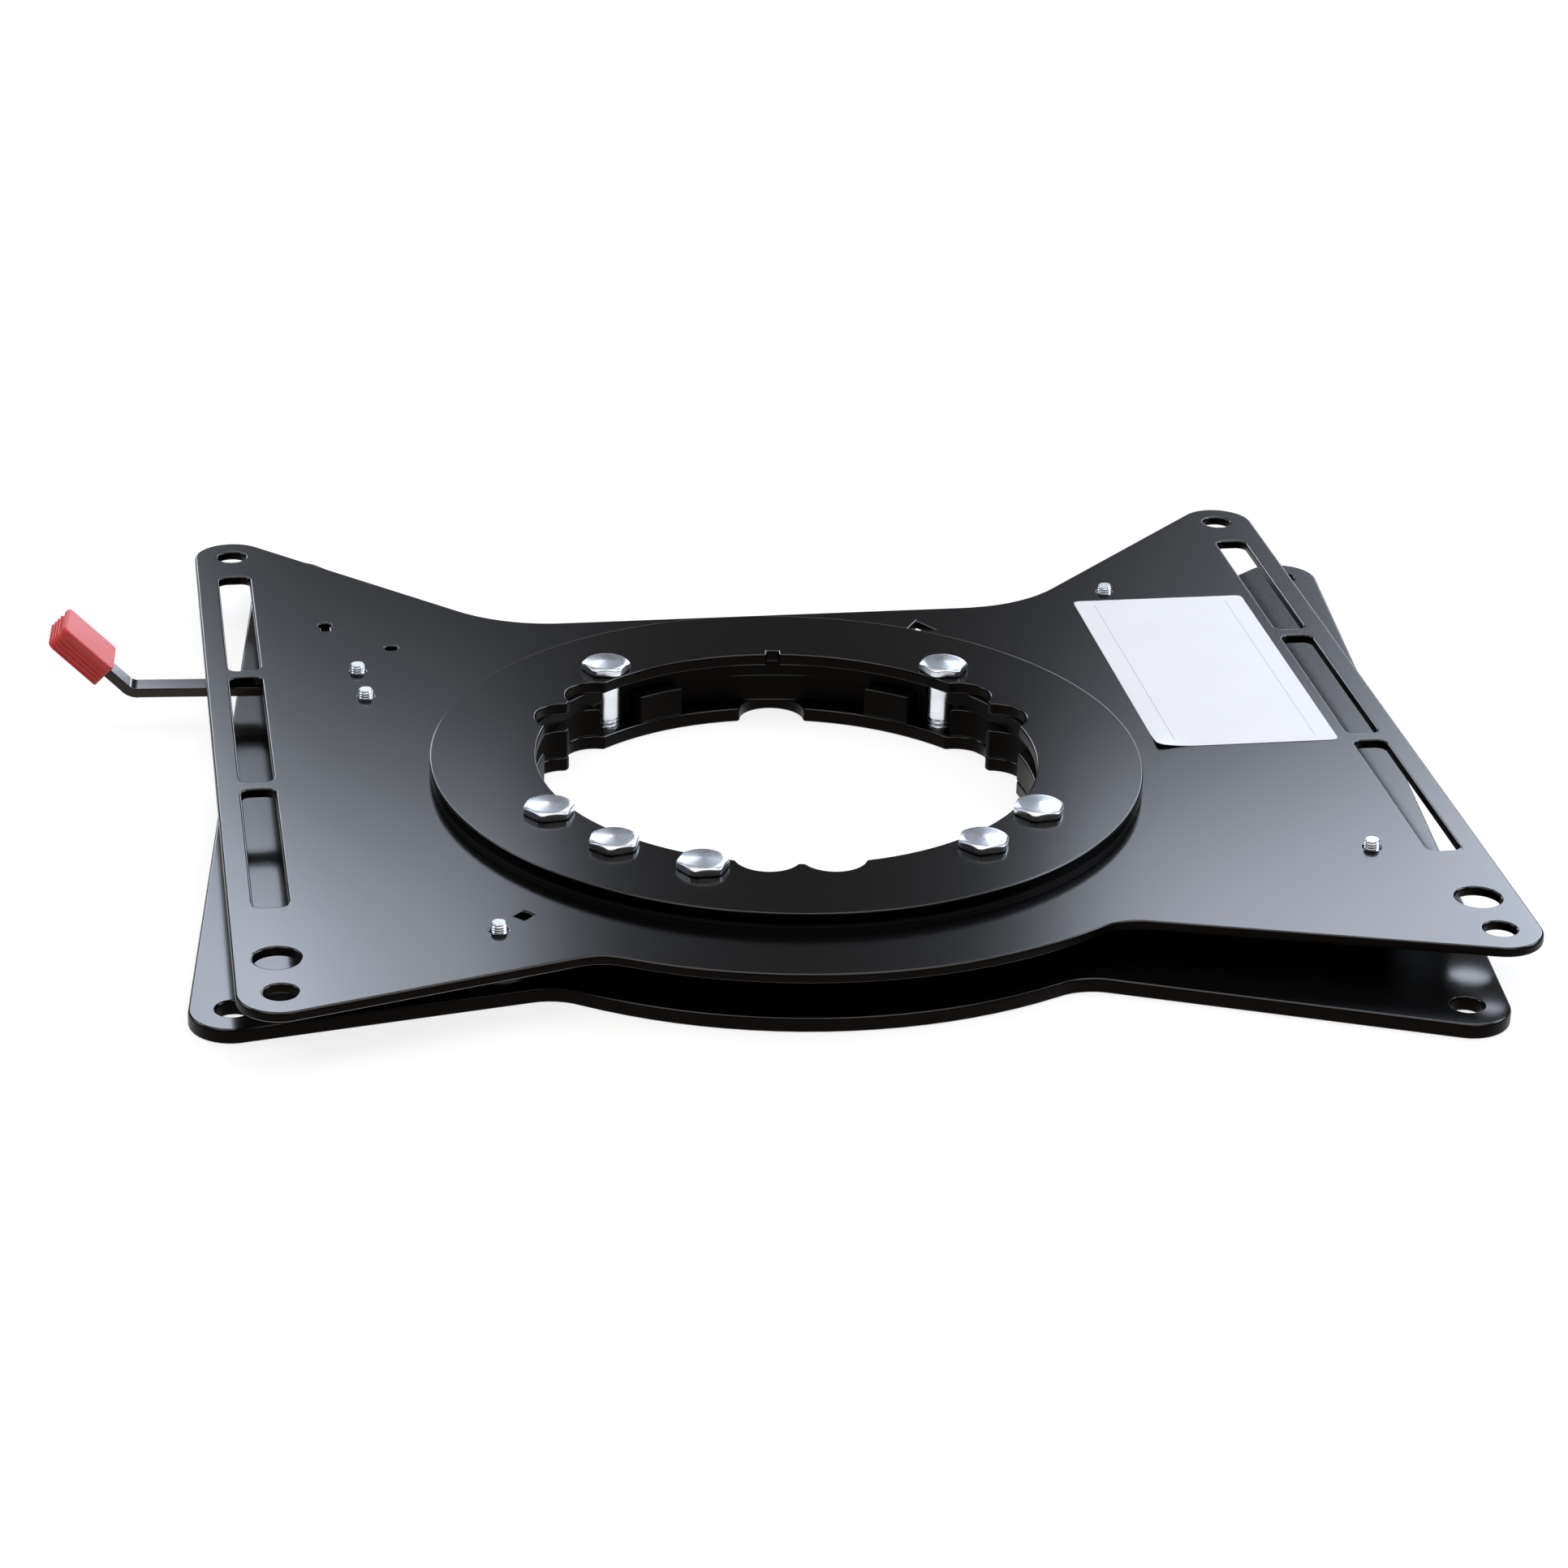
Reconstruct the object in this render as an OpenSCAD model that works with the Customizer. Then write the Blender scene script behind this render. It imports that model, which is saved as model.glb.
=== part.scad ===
// Swivel seat base: two steel plates joined by a clamped ring bearing.
// The origin is on the swivel axis, at the underside of the bottom plate.
// X runs to the right, Y to the back and Z up. The bottom plate is square to the axes.
// The top plate and all it carries are drawn turned by rest_turn.

/* [Plates] */
// Distance between the mounting holes across the plates
mount_w = 445; // [435:1:455]
// Distance between the mounting holes from front to back
mount_d = 410; // [402:1:418]
// How far the middle of the plates lies to the right of the swivel axis
axis_side = 16; // [8:1:20]
// How far the front mounting holes lie in front of the swivel axis
front_hole = 166; // [162:1:170]
// Radius of the four corners, about the mounting holes
corner_r = 16; // [14:0.5:18]
// Diameter of the mounting holes
mount_hole_d = 12; // [8.5:0.5:13]
// Thickness of the bottom plate
bottom_t = 6; // [5:0.5:8]
// Thickness of the top plate
top_t = 4; // [3:0.5:5]
// Width of plate left behind the clamp ring, up to the straight back edge
back_margin = 16; // [12:1:20]
// Radius of the fillets between the back edge and the arms
back_fillet = 60; // [30:5:70]
// Width of plate in front of the clamp ring, up to the round front edge
front_margin = 35; // [30:1:40]
// Slope of the front edges of the arms
front_slope = 16; // [14:0.5:18]
// Radius of the fillets beside the round front edge
front_fillet = 22; // [12:1:30]
// Angle the top plate is turned from straight ahead, one step of the lock
rest_turn = 6; // [0:6:354]

/* [Slots and small cut-outs] */
// Width of the long slots
slot_w = 13; // [10:0.5:14]
// Distance from the front mounting holes to the first long slots
slot_front = 66.5; // [60:0.5:80]
// Distance from the last long slots to the back mounting holes
slot_back = 23.5; // [20:0.5:40]
// Width of the bars between the long slots
slot_web = 7; // [5:0.5:12]
// Radius of the slots' corners
slot_corner_r = 4; // [2:0.5:5]
// Diameter of the access holes behind the front mounting holes
access_d = 17; // [14:0.5:18]
// Distance of the access holes behind the front mounting holes
access_back = 26; // [24:1:28]
// Diameter of the two small round holes at the back left
small_hole_d = 5; // [4:0.5:6]
// Side of the square hole at the front left
square_hole_w = 5; // [4:0.5:6]
// Width of the triangular hole that points to the back
arrow_w = 12.6; // [10:0.2:14]

/* [Ring bearing] */
// Radius of the open centre
open_r = 98.4; // [92:0.2:100]
// Radius of the scallops in the open centre
scallop_r = 12.5; // [10:0.5:12.5]
// Distance of the scallops' middles inside the edge of the open centre
scallop_in = 5.2; // [4.6:0.2:6]
// Angle between the two scallops of a pair
scallop_step = 15.2; // [15:0.1:16]
// Distance from the edge of the open centre to the bolt circle
bolt_inset = 9.6; // [9:0.2:11]
// Distance from the bolt circle to the outside of the hub that the top plate turns on
hub_wall = 16; // [14:0.5:18]
// Radial running clearance of the top plate on the hub
hub_fit = 0.08; // [0.05:0.01:0.1]
// Thickness of each glide ring
glide_t = 1.5; // [1.2:0.1:1.8]
// Clearance between a glide ring and the top plate
glide_gap = 0.1; // [0.05:0.05:0.15]
// Height of the lock ring between the bottom plate and the bearing
lock_t = 12; // [11.5:0.5:13]
// How far the lock ring's rim stands out from the hub
rim_wall = 14; // [13:0.2:15]
// How far the clamp ring covers the lock ring's rim
clamp_over = 2; // [1:0.5:6]
// Thickness of the clamp ring
clamp_t = 5; // [4:0.5:6]
// Depth of the lock ring's notches
notch_deep = 7; // [6.5:0.1:7.2]
// Number of notches round the rim
notch_n = 60; // [60]
// Width of a notch at its root
notch_root_w = 8; // [7.6:0.1:8]
// Width of a notch where it opens past the rim
notch_mouth_w = 10.4; // [10:0.1:10.6]

/* [Ring bolts] */
// Diameter of the bolts
bolt_d = 12; // [10:1:12]
// Width across the flats of the bolt heads
bolt_af = 18; // [16:1:19]
// Height of the thin bolt heads
bolt_head_t = 4.2; // [3:0.2:5]
// Clearance of the bolts, across their diameter, in the lock ring and the hub
bolt_play = 1; // [0.6:0.1:1.2]
// Clearance of the bolts, across their diameter, in the clamp ring
clamp_play = 0.4; // [0.2:0.1:0.8]
// Height of the bolts' ends above the underside of the bottom plate
bolt_end = 0.8; // [0.3:0.1:1.5]

/* [Lever] */
// Width of the lever's outer arm
lever_w = 10; // [8:0.5:11]
// Thickness of the lever
lever_t = 4; // [3:0.5:4]
// Gap between the lever and the top plate
lever_gap = 0.6; // [0.4:0.1:0.8]
// How far the outer arm runs past the plate's left edge, up to the bend
arm_past = 28; // [20:1:33]
// Angle of the upward bend
bend_up = 45; // [30:1:50]
// Inner radius of the bend
bend_r = 4; // [3:0.5:6]
// Distance from the bend to the grip
grip_from = 11.5; // [8:0.5:14]
// Length of the grip
grip_l = 26; // [24:1:34]
// Width of the grip
grip_w = 23.5; // [20:0.5:26]
// Thickness of the grip
grip_t = 10.5; // [9.5:0.5:12]
// Angle the lever is turned from locked, with its nose clear of the rim
lever_open = 3.35; // [3.3:0.05:3.4]
// Angle the lever still turns after that, to its stop
lever_more = 2.5; // [1:0.5:3]

/* [Screws under the top plate] */
// Diameter of the threads that show above the top plate
stud_d = 6; // [5:0.5:6]
// Height of those thread ends above the top plate
stud_up = 3.3; // [2:0.1:4]
// Diameter of the skid pads
skid_d = 24; // [18:1:28]
// Diameter of the skid screws' flat heads
skid_head_d = 11.6; // [10:0.2:12]
// Height of those heads
skid_head_t = 2.4; // [2:0.1:2.5]

/* [Label] */
// Width of the blank label
label_w = 75; // [60:1:78]
// Length of the blank label
label_l = 153; // [120:1:156]
// Thickness of the blank label
label_t = 0.2; // [0.15:0.05:0.3]

/* [Hidden] */
$fn = 96;
// Overlap that keeps round and straight edges from only touching
seam = 0.02;
right_x = axis_side + mount_w / 2;
left_x = axis_side - mount_w / 2;
front_y = -front_hole;
back_y = mount_d - front_hole;
bolt_circle_r = open_r + bolt_inset;
hub_r = bolt_circle_r + hub_wall;
rim_r = hub_r + rim_wall;
clamp_r = rim_r + clamp_over;
scallop_at = open_r - scallop_in;
back_edge = clamp_r + back_margin;
front_bulge_r = clamp_r + front_margin;
slot_l = (mount_d - slot_front - slot_back - 2 * slot_web) / 3;
slot_pitch = slot_l + slot_web;
mount_holes = [[left_x, front_y], [right_x, front_y], [left_x, back_y], [right_x, back_y]];
lock_z = bottom_t;
hub_z = lock_z + lock_t;
plate_z = hub_z + glide_t + glide_gap;
plate_top = plate_z + top_t;
hub_t = 2 * glide_t + 2 * glide_gap + top_t;
clamp_z = hub_z + hub_t;
clamp_top = clamp_z + clamp_t;
notch_root = rim_r - notch_deep;
// How far a notch is cut past the rim
notch_past = 1;
// Round relief at the back of the bottom plate's opening
relief_r = 13.3;
relief_at = open_r - 1;
// Pockets of the lock ring that leave the bolts' shanks in view
pocket_w = 20.6;
pocket_deep = 7.6;
// Wide recess of the lock ring at the back of the opening
recess_deep = 8;
recess_half_angle = 22.5;
// Key slot of the clamp ring at the back of the opening
key_w = 5;
key_deep = 4;
hub_wall_in = open_r + 5.6;
glide_play = 0.2;
lower_glide_r = notch_root - 0.6;
upper_glide_r = clamp_r - 0.4;
// Gap round a thread in its own threaded hole, across the diameter
thread_play = 0.1;
notch_step = 360 / notch_n;
bolt_angles = [-30, -50, -110, -130, -150, 50, 130];
bolt_turns = [14, 16, 8, 20, 12, 2, 0];
// Places on the top plate, each measured from the hole, edge or ring that it goes with
pad_from_front_left = [80.5, 39];
pad_from_back_right = [-70.5, -77];
pad_from_front_right = [-27.5, 72];
stud_spots = [
    [left_x, front_y] + pad_from_front_left,
    [right_x, back_y] + pad_from_back_right,
    [right_x, front_y] + pad_from_front_right
];
keyhole_from_corner = [35.5, -81];
keyhole_spot = [left_x, back_y] + keyhole_from_corner;
keyhole_w = 3;
keyhole_l = 6;
small_hole_from_corner = [61.5, -108];
small_hole_spot = [left_x, back_y] + small_hole_from_corner;
square_hole_from_pad = [10, 11];
square_hole_spot = stud_spots[0] + square_hole_from_pad;
arrow_side = 80;
arrow_from_edge = 20;
arrow_spot = [arrow_side, back_edge - arrow_from_edge];
arrow_back = 7;
arrow_front = -3;
stud_chamfer = 0.6;
// Pivot of the lever and the post beside it, as the top plate sees them
pivot_from_rim = 22.5;
pivot_back = 113;
post_from_pivot = [1.5, -26];
pivot = [-rim_r - pivot_from_rim, pivot_back];
post = pivot + post_from_pivot;
post_reach = norm(post - pivot);
post_angle = atan2(post[1] - pivot[1], post[0] - pivot[0]);
post_r = 4;
lever_top = plate_z - lever_gap;
lever_z = lever_top - lever_t;
// Gap between the lever's eye and the collar below it
eye_gap = 0.1;
shoulder_z = lever_z - eye_gap;
arm_out = pivot[0] - left_x + corner_r + arm_past;
// Direction of the outer arm when the nose is in a notch
arm_angle = 172.7;
nose_angle = 108;
nose_r = notch_root + 0.8;
nose_tip_w = 5.6;
nose_base_w = 8.4;
// How far outside the rim the inner arm ends, and how far the nose runs into it
arm_past_rim = 11;
nose_past = 10;
arm_in_end = (rim_r + arm_past_rim) * way(nose_angle - 0.5);
arm_in_w = 11;
// Half width of the lever's tail round the post
tail_r = 10;
eye_r = 13;
// Play of the post in its slot, across it and, as an angle, past both ends of the travel
slot_play = 0.4;
slot_play_angle = 0.8;
// Where the outer arm starts inside the eye, clear of the pivot's hole
arm_from = 8;
shoulder_r = 5;
// Radial running clearance of the lever on its shoulder
shoulder_fit = 0.05;
collar_r = 6;
// Gaps of the pivot's flange and of the spring post above the bottom plate
flange_gap = 0.5;
post_gap = 1;
flange_z = bottom_t + flange_gap;
flange_t = 1.8;
flange_r = 9.5;
post_low = bottom_t + post_gap;
spring_r = 1;
spring_play = 0.2;
spring_mid = collar_r + spring_play + spring_r;
// Gaps below and above the spring's rings
spring_floor = 0.3;
spring_roof = 0.6;
spring_low = flange_z + flange_t + spring_floor + spring_r;
spring_pitch = 1.9 * spring_r;
spring_turns = 1 + floor((lever_z - spring_roof - spring_r - spring_low) / spring_pitch + seam);
spring_high = spring_low + (spring_turns - 1) * spring_pitch;
spring_pin_at = 22;
spring_pin_r = 1.5;
// How far the lever's pin reaches below the middle of the spring's top ring
pin_reach = 2.9;
spring_pin_low = spring_high - pin_reach;
// Gap between the spring's free leg and the lever's pin at rest
leg_gap = 1.3;
// How thick a leg is beside the wire of the rings
leg_share = 0.96;
skid_gap = 0.3;
skid_edge = 1.5;
// Floor of the recess in a skid pad, above the pad's underside
skid_seat = 3;
grip_cap = 2.5;
grip_ribs = 4;
grip_inset = 0.8;
grip_corner_r = 7;
grip_play = 0.05;
// How far the lever's end reaches into the grip
tang_l = 20;
// Gap between the clamp ring and the label
label_gap = 11.5;
label_back = 80.5;
label_spot = [clamp_r + label_gap + label_w / 2, label_back];

function way(a) = [cos(a), sin(a)];
// Half of the chord that a line at distance d cuts from a circle of radius r
function half_chord(r, d) = sqrt(r * r - d * d);

// Fillet of radius r at the corner p, between straight edges that leave it at angles a and b
function fillet_mid(p, a, b, r) = p + r / sin(abs(b - a) / 2) * way((a + b) / 2);
function fillet_end(p, a, b, r, to) = p + r / tan(abs(b - a) / 2) * way(to);

// Fillet between the round front edge and a straight edge at distance d with its normal at angle n
function bulge_fillet_mid(n, side, d) =
    (d + front_fillet) * way(n)
    + half_chord(front_bulge_r + front_fillet, d + front_fillet) * way(n + side * 90);

// Outline that both plates are cut to
module plate_outline() {
    n_right = 270 - front_slope;
    n_left = 270 + front_slope;
    arm_right = [right_x, front_y] + corner_r * way(n_right);
    arm_left = [left_x, front_y] + corner_r * way(n_left);
    front_mid_right = bulge_fillet_mid(n_right, 1, arm_right * way(n_right));
    front_mid_left = bulge_fillet_mid(n_left, -1, arm_left * way(n_left));
    on_bulge = front_bulge_r / (front_bulge_r + front_fillet);
    diag_right = [right_x, back_y] + corner_r * way(135);
    diag_left = [left_x, back_y] + corner_r * way(45);
    back_right = [diag_right[0] - (diag_right[1] - back_edge), back_edge];
    back_left = [diag_left[0] + (diag_left[1] - back_edge), back_edge];
    back_mid_right = fillet_mid(back_right, 180, 45, back_fillet);
    back_mid_left = fillet_mid(back_left, 0, 135, back_fillet);
    difference() {
        union() {
            polygon([
                [right_x + corner_r, front_y], [right_x + corner_r, back_y], diag_right,
                fillet_end(back_right, 180, 45, back_fillet, 45), back_mid_right,
                fillet_end(back_right, 180, 45, back_fillet, 180),
                fillet_end(back_left, 0, 135, back_fillet, 0), back_mid_left,
                fillet_end(back_left, 0, 135, back_fillet, 135), diag_left,
                [left_x - corner_r, back_y], [left_x - corner_r, front_y], arm_left,
                front_mid_left - front_fillet * way(n_left), front_mid_left, front_mid_left * on_bulge,
                front_mid_right * on_bulge, front_mid_right, front_mid_right - front_fillet * way(n_right),
                arm_right
            ]);
            for (p = mount_holes) translate(p) circle(corner_r + seam);
            intersection() {
                circle(front_bulge_r);
                translate([-front_bulge_r, -front_bulge_r - 1]) {
                    square([2 * front_bulge_r, 0.45 * front_bulge_r]);
                }
            }
        }
        for (p = [back_mid_right, back_mid_left]) translate(p) circle(back_fillet + seam);
        for (p = [front_mid_right, front_mid_left]) translate(p) circle(front_fillet + seam);
    }
}

module mount_hole_set() {
    for (p = mount_holes) translate(p) circle(d = mount_hole_d);
}

// Open centre with its three pairs of scallops
module open_centre() {
    circle(open_r);
    for (a = [-90, 30, 150], s = [-1, 1]) {
        rotate(a + s * scallop_step / 2) translate([scallop_at, 0]) circle(scallop_r);
    }
}

module bolt_holes(d) {
    for (a = bolt_angles) rotate(a) translate([bolt_circle_r, 0]) circle(d = d);
}

module rounded_slot(w, l, r) {
    for (sx = [-1, 1], sy = [-1, 1]) translate([sx * (w / 2 - r), sy * (l / 2 - r)]) circle(r + seam);
    square([w, l - 2 * r], center = true);
    square([w - 2 * r, l], center = true);
}

// Turns what the top plate carries to its place at rest
module turned() {
    rotate(rest_turn) children();
}

module bottom_plate() {
    color("#2b2d31") linear_extrude(bottom_t) difference() {
        plate_outline();
        mount_hole_set();
        open_centre();
        translate([0, relief_at]) circle(relief_r);
        bolt_holes(bolt_d);
    }
}

// One notch of the lock ring's rim, narrower at its root
module notch() {
    polygon([
        [notch_root, -notch_root_w / 2], [notch_root, notch_root_w / 2],
        [rim_r + notch_past, notch_mouth_w / 2], [rim_r + notch_past, -notch_mouth_w / 2]
    ]);
}

module lock_ring() {
    color("#2b2d31") translate([0, 0, lock_z]) linear_extrude(lock_t) difference() {
        circle(rim_r);
        open_centre();
        for (a = bolt_angles) rotate(a) translate([0, -pocket_w / 2]) {
            square([open_r + pocket_deep, pocket_w]);
        }
        intersection() {
            circle(open_r + recess_deep);
            polygon([
                [0, 0], 2 * open_r * way(90 + recess_half_angle), 2 * open_r * way(90 - recess_half_angle)
            ]);
        }
        bolt_holes(bolt_d + bolt_play);
        for (i = [0 : notch_n - 1]) rotate(i * notch_step) notch();
    }
}

module glide_ring(z, outer) {
    color("#c9c9c4") translate([0, 0, z]) linear_extrude(glide_t) difference() {
        circle(outer);
        circle(hub_r + glide_play);
    }
}

module hub_ring() {
    color("#3a3c40") translate([0, 0, hub_z]) linear_extrude(hub_t) difference() {
        circle(hub_r);
        circle(hub_wall_in);
        bolt_holes(bolt_d + bolt_play);
    }
}

module clamp_ring() {
    color("#2b2d31") translate([0, 0, clamp_z]) linear_extrude(clamp_t) difference() {
        circle(clamp_r);
        open_centre();
        translate([-key_w / 2, 0]) square([key_w, open_r + key_deep]);
        bolt_holes(bolt_d + clamp_play);
    }
}

// Hexagon bolt with a thin chamfered head, its thread in the bottom plate
module ring_bolt(i) {
    head_r = bolt_af / 2 / cos(30);
    chamfer = 1;
    shank_d = bolt_d - thread_play;
    shank_z = bolt_end + chamfer;
    color("#d4d6d8") rotate(bolt_angles[i]) translate([bolt_circle_r, 0, 0]) {
        translate([0, 0, bolt_end]) cylinder(d1 = shank_d - 2 * chamfer, d2 = shank_d, h = chamfer);
        translate([0, 0, shank_z]) cylinder(d = shank_d, h = clamp_top + bolt_head_t / 2 - shank_z);
        translate([0, 0, clamp_top]) intersection() {
            rotate(bolt_turns[i] - bolt_angles[i]) cylinder(r = head_r, h = bolt_head_t, $fn = 6);
            cylinder(r1 = head_r + 5, r2 = bolt_af / 2 * 0.97, h = bolt_head_t);
        }
    }
}

// Keyhole: a round hole with a short slot towards the front
module keyhole(d, w, l) {
    circle(d = d);
    translate([-w / 2, -l]) square([w, l]);
}

module top_plate() {
    color("#2b2d31") turned() translate([0, 0, plate_z]) linear_extrude(top_t) difference() {
        plate_outline();
        mount_hole_set();
        circle(hub_r + hub_fit);
        for (x = [left_x, right_x]) {
            translate([x, front_y + access_back]) circle(d = access_d);
            for (k = [-1, 0, 1]) {
                translate([x, back_y - slot_back - slot_l / 2 - (1 - k) * slot_pitch]) {
                    rounded_slot(slot_w, slot_l, slot_corner_r);
                }
            }
        }
        for (p = concat(stud_spots, [pivot, post])) translate(p) circle(d = stud_d + thread_play);
        translate(keyhole_spot) keyhole(small_hole_d, keyhole_w, keyhole_l);
        translate(small_hole_spot) circle(d = small_hole_d);
        translate(square_hole_spot) rotate(45) square(square_hole_w, center = true);
        translate(arrow_spot) {
            polygon([[-arrow_w / 2, arrow_front], [arrow_w / 2, arrow_front], [0, arrow_back]]);
        }
    }
}

// Thread end that stands above the top plate, with a chamfered tip
module thread_end(from_z) {
    top = plate_top + stud_up;
    translate([0, 0, from_z]) cylinder(d = stud_d, h = top - stud_chamfer - from_z);
    translate([0, 0, top - stud_chamfer]) {
        cylinder(d1 = stud_d, d2 = stud_d - 2 * stud_chamfer, h = stud_chamfer);
    }
}

// Shoulder bolt that the lever turns on, with a collar for the spring and a flange below
module lever_pivot_bolt() {
    color("#c8cacc") turned() translate(pivot) {
        translate([0, 0, flange_z]) cylinder(r = flange_r, h = flange_t);
        translate([0, 0, flange_z + flange_t]) {
            cylinder(r = collar_r, h = shoulder_z - flange_z - flange_t);
        }
        translate([0, 0, shoulder_z]) cylinder(r = shoulder_r, h = plate_z - shoulder_z);
        thread_end(plate_z);
    }
}

module spring_post() {
    color("#c8cacc") turned() translate(post) {
        translate([0, 0, post_low]) cylinder(r = post_r, h = plate_z - post_low);
        thread_end(plate_z);
    }
}

module skid_pad(i) {
    low = bottom_t + skid_gap;
    color("#1b1b1b") turned() translate(stud_spots[i]) difference() {
        union() {
            translate([0, 0, low]) cylinder(d1 = skid_d - 2 * skid_edge, d2 = skid_d, h = skid_edge);
            translate([0, 0, low + skid_edge]) cylinder(d = skid_d, h = plate_z - low - skid_edge);
        }
        translate([0, 0, low - 1]) cylinder(d = stud_d + 2 * thread_play, h = plate_z);
        translate([0, 0, low - 1]) cylinder(d = skid_head_d + 8 * thread_play, h = skid_seat + 1);
    }
}

// Flat-headed screw that holds a skid pad and threads up through the top plate
module skid_screw(i) {
    head = bottom_t + skid_gap + skid_seat;
    color("#c8cacc") turned() translate(stud_spots[i]) {
        translate([0, 0, head - skid_head_t]) cylinder(d = skid_head_d, h = skid_head_t);
        thread_end(head - skid_head_t / 2);
    }
}

module blank_label() {
    color("#f2f2ef") turned() translate([label_spot[0], label_spot[1], plate_top]) {
        translate([-label_w / 2, -label_l / 2, 0]) cube([label_w, label_l, label_t]);
    }
}

// Puts the lever's parts at rest: turned about the pivot from the locked place
module lever_place() {
    turned() translate(pivot) rotate(lever_open) children();
}

// Flat part of the lever seen from above, locked, with the pivot at the origin
module lever_outline() {
    inner = arm_in_end - pivot;
    inner_angle = atan2(inner[1], inner[0]);
    tail_angle = post_angle - (lever_open + lever_more) / 2;
    difference() {
        union() {
            circle(eye_r);
            rotate(inner_angle) translate([0, -arm_in_w / 2]) square([norm(inner), arm_in_w]);
            translate(inner) circle(arm_in_w / 2 + seam);
            rotate(tail_angle) translate([0, -tail_r]) square([post_reach, 2 * tail_r]);
            rotate(tail_angle) translate([post_reach, 0]) circle(tail_r + seam);
            translate(-pivot) rotate(nose_angle) polygon([
                [nose_r, -nose_tip_w / 2], [nose_r, nose_tip_w / 2],
                [rim_r + nose_past, nose_base_w / 2], [rim_r + nose_past, -nose_base_w / 2]
            ]);
        }
        circle(shoulder_r + shoulder_fit);
        rotate(inner_angle) translate([spring_pin_at, 0]) circle(spring_pin_r);
        post_slot();
    }
}

// Slot round the spring post that stops the lever at both ends of its travel
module post_slot() {
    far = post_angle - lever_open - lever_more - slot_play_angle;
    near = post_angle + slot_play_angle;
    ends = [post_reach * way(near), post_reach * way(far)];
    for (p = ends) translate(p) circle(post_r + slot_play);
    translate((ends[0] + ends[1]) / 2) rotate((near + far) / 2) {
        square([2 * (post_r + slot_play) - seam, norm(ends[1] - ends[0])], center = true);
    }
}

// Goes to the middle of the bar's section, where the bend ends
module after_bend() {
    mid = bend_r + lever_t / 2;
    rotate(arm_angle) translate([arm_out + mid * sin(bend_up), 0, lever_top + bend_r - mid * cos(bend_up)]) {
        rotate([0, -bend_up, 0]) children();
    }
}

// Side view of the outer arm: flat, then bent upwards to its end in the grip
module arm_side() {
    bend_mid = [arm_out, lever_top + bend_r];
    bend_out_r = bend_r + lever_t;
    down = way(bend_up - 90);
    end = (grip_from + tang_l) * way(bend_up);
    difference() {
        union() {
            polygon([
                [arm_from, lever_z], [arm_out, lever_z], bend_mid + bend_out_r * down,
                bend_mid + bend_out_r * down + end, bend_mid + bend_r * down + end,
                bend_mid + bend_r * down, bend_mid, [arm_out, lever_top], [arm_from, lever_top]
            ]);
            intersection() {
                translate(bend_mid) circle(bend_out_r + seam);
                translate(bend_mid) {
                    polygon(2 * bend_out_r * [[0, 0], way(-90), way(bend_up / 2 - 90), down]);
                }
            }
        }
        translate(bend_mid) circle(bend_r + seam);
    }
}

module lever() {
    color("#26272a") lever_place() {
        translate([0, 0, lever_z - seam]) linear_extrude(lever_t + 2 * seam) lever_outline();
        rotate(arm_angle) rotate([90, 0, 0]) linear_extrude(lever_w, center = true) arm_side();
    }
}

// Outline of the grip, from its inner end to its rounded outer end
module grip_outline(inset) {
    r = grip_corner_r;
    for (s = [-1, 1]) translate([grip_l - r, s * (grip_w / 2 - r)]) circle(r - inset);
    translate([inset, inset - grip_w / 2]) square([grip_l - r - inset, grip_w - 2 * inset]);
    translate([grip_l - r - 1, r - grip_w / 2]) square([r + 1 - inset, grip_w - 2 * r]);
}

// Plastic grip with ribs that run along its sides and round its outer end
module lever_grip() {
    pitch = (grip_t - grip_cap - grip_inset) / grip_ribs;
    slot = [tang_l + 1 + 2 * grip_play, lever_w + 2 * grip_play, lever_t + 2 * grip_play];
    color("#d8484a") lever_place() after_bend() translate([grip_from, 0, 0]) difference() {
        translate([0, 0, -grip_t / 2]) {
            linear_extrude(grip_t) grip_outline(grip_inset);
            translate([0, 0, grip_t - grip_cap]) linear_extrude(grip_cap) grip_outline(0);
            for (k = [0 : grip_ribs - 1]) translate([0, 0, k * pitch]) {
                linear_extrude(pitch / 2) grip_outline(0);
            }
        }
        translate([-1, -slot[1] / 2, -slot[2] / 2]) cube(slot);
    }
}

module lever_spring_pin() {
    inner = arm_in_end - pivot;
    inner_angle = atan2(inner[1], inner[0]);
    color("#c8cacc") lever_place() rotate(inner_angle) translate([spring_pin_at, 0, spring_pin_low]) {
        cylinder(r = spring_pin_r, h = lever_top - spring_pin_low);
    }
}

// Torsion spring round the pivot's collar: one leg on the post, one on the lever's pin
module lever_spring() {
    post_leg = post_angle - asin((post_r + spring_r + spring_play) / post_reach);
    inner = arm_in_end - pivot;
    pin_angle = atan2(inner[1], inner[0]) + lever_open;
    pin_leg = pin_angle + asin((spring_pin_r + spring_r + leg_gap) / spring_pin_at);
    color("#9a9ca0") turned() translate(pivot) {
        for (k = [0 : spring_turns - 1]) translate([0, 0, spring_low + k * spring_pitch]) {
            rotate_extrude() translate([spring_mid, 0]) circle(spring_r);
        }
        rotate(post_leg) translate([spring_mid, 0, spring_low]) rotate([0, 90, 0]) {
            cylinder(r = spring_r * leg_share, h = post_reach - spring_mid + 5);
        }
        rotate(pin_leg) translate([spring_mid, 0, spring_high]) rotate([0, 90, 0]) {
            cylinder(r = spring_r * leg_share, h = spring_pin_at - spring_mid + 4);
        }
    }
}

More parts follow.
